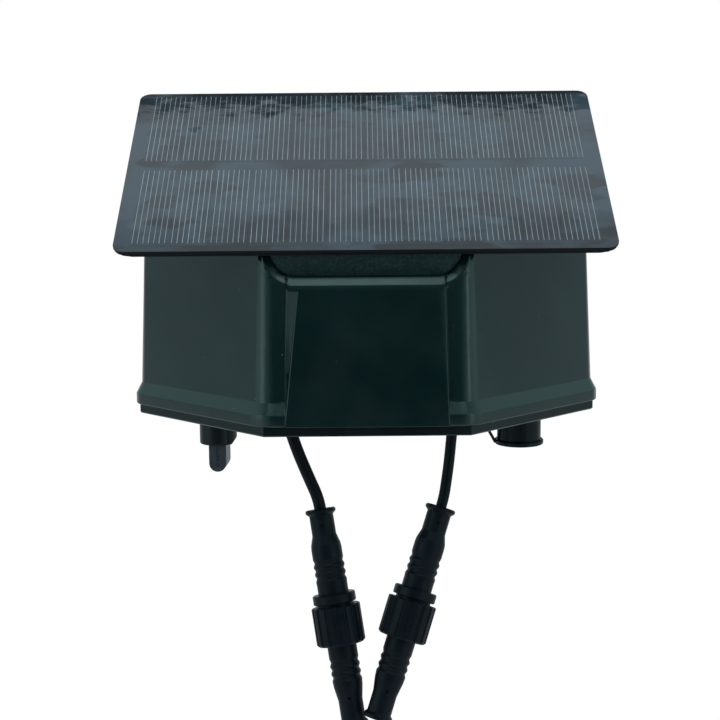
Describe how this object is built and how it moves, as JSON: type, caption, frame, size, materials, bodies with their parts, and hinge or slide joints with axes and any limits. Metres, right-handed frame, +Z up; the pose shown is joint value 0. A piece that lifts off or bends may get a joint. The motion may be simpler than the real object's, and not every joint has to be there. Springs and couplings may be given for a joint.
{
  "type": "drip irrigation timer",
  "caption": "Wall-hung solar drip irrigation timer: green half-octagon housing under a sloping solar panel, with selector dial, capped port and pigtail screw connectors.",
  "frame": {"origin": "on the flat back, midway between the two keyhole entries", "axes": "+X to the right seen from the front, +Y into the wall, +Z up"},
  "size_m": [0.2178, 0.0993, 0.2837],
  "materials": {
    "housing_green": "gloss moulded, dark green",
    "lid_green": "fine texture, dark green",
    "base_green": "satin, dark green",
    "panel_black": "matt black",
    "panel_board": "gloss film over black",
    "cell_blue": "blue-grey cells under gloss film",
    "seal_rubber": "soft",
    "screw_steel": "plain",
    "circuit_board": "solder mask",
    "component_black": "matt",
    "relay_blue": "satin",
    "capacitor_can": "sleeved",
    "header_white": "plain",
    "cell_wrap": "shrink wrap",
    "contact_metal": "plated",
    "port_black": "satin",
    "tether_rubber": "satin",
    "cable_black": "satin jacket",
    "connector_black": "satin",
    "pin_brass": "plain",
    "dial_black": "satin",
    "cap_black": "satin"
  },
  "bodies": {
    "housing": {"hood_shell": "housing_green", "panel_carrier": "lid_green", "lid_seal": "seal_rubber", "lid_screws": "screw_steel", "panel_tray": "panel_black", "panel_board": "panel_board", "solar_cells": "cell_blue", "base_tray": "base_green", "base_gasket": "seal_rubber", "base_screws": "screw_steel", "control_board": "circuit_board", "board_screws": "screw_steel", "timer_chip": "component_black", "pump_relay": "relay_blue", "filter_capacitors": "capacitor_can", "alarm_buzzer": "component_black", "board_headers": "header_white", "battery_holder": "component_black", "battery_cells": "cell_wrap", "battery_contacts": "contact_metal", "holder_screws": "screw_steel", "switch_body": "component_black", "switch_seal": "seal_rubber", "switch_nut": "contact_metal", "port_socket": "port_black", "port_pin": "contact_metal", "port_screws": "screw_steel", "cap_tether": "tether_rubber", "left_grommet": "tether_rubber", "right_grommet": "tether_rubber", "left_pigtail": "cable_black", "right_pigtail": "cable_black", "left_plug_body": "connector_black", "right_plug_body": "connector_black", "left_plug_pins": "pin_brass", "right_plug_pins": "pin_brass", "left_plug_seal": "seal_rubber", "right_plug_seal": "seal_rubber", "left_socket_body": "connector_black", "right_socket_body": "connector_black"},
    "dial": {"dial_knob": "dial_black", "dial_spindle": "contact_metal"},
    "cap": {"port_cap": "cap_black"},
    "left_nut": {"left_coupling_nut": "connector_black"},
    "right_nut": {"right_coupling_nut": "connector_black"}
  },
  "joints": [
    {"name": "dial_turn", "type": "hinge", "parent": "housing", "child": "dial", "pos_m": [-0.06905, -0.0435, -0.105], "axis": [0, 0, 1], "range_deg": [-142, 150]},
    {"name": "cap_pull", "type": "slide", "parent": "housing", "child": "cap", "axis": [0, 0, -1], "range_m": [0, 0.014], "deforming": ["cap_tether"]},
    {"name": "left_nut_turn", "type": "hinge", "parent": "housing", "child": "left_nut", "pos_m": [-0.02147, -0.0674, -0.14321], "axis": [0.151, -0.1998, -0.9681], "continuous": true},
    {"name": "right_nut_turn", "type": "hinge", "parent": "housing", "child": "right_nut", "pos_m": [0.033, -0.0687, -0.14248], "axis": [-0.3041, -0.2508, -0.919], "continuous": true}
  ]
}
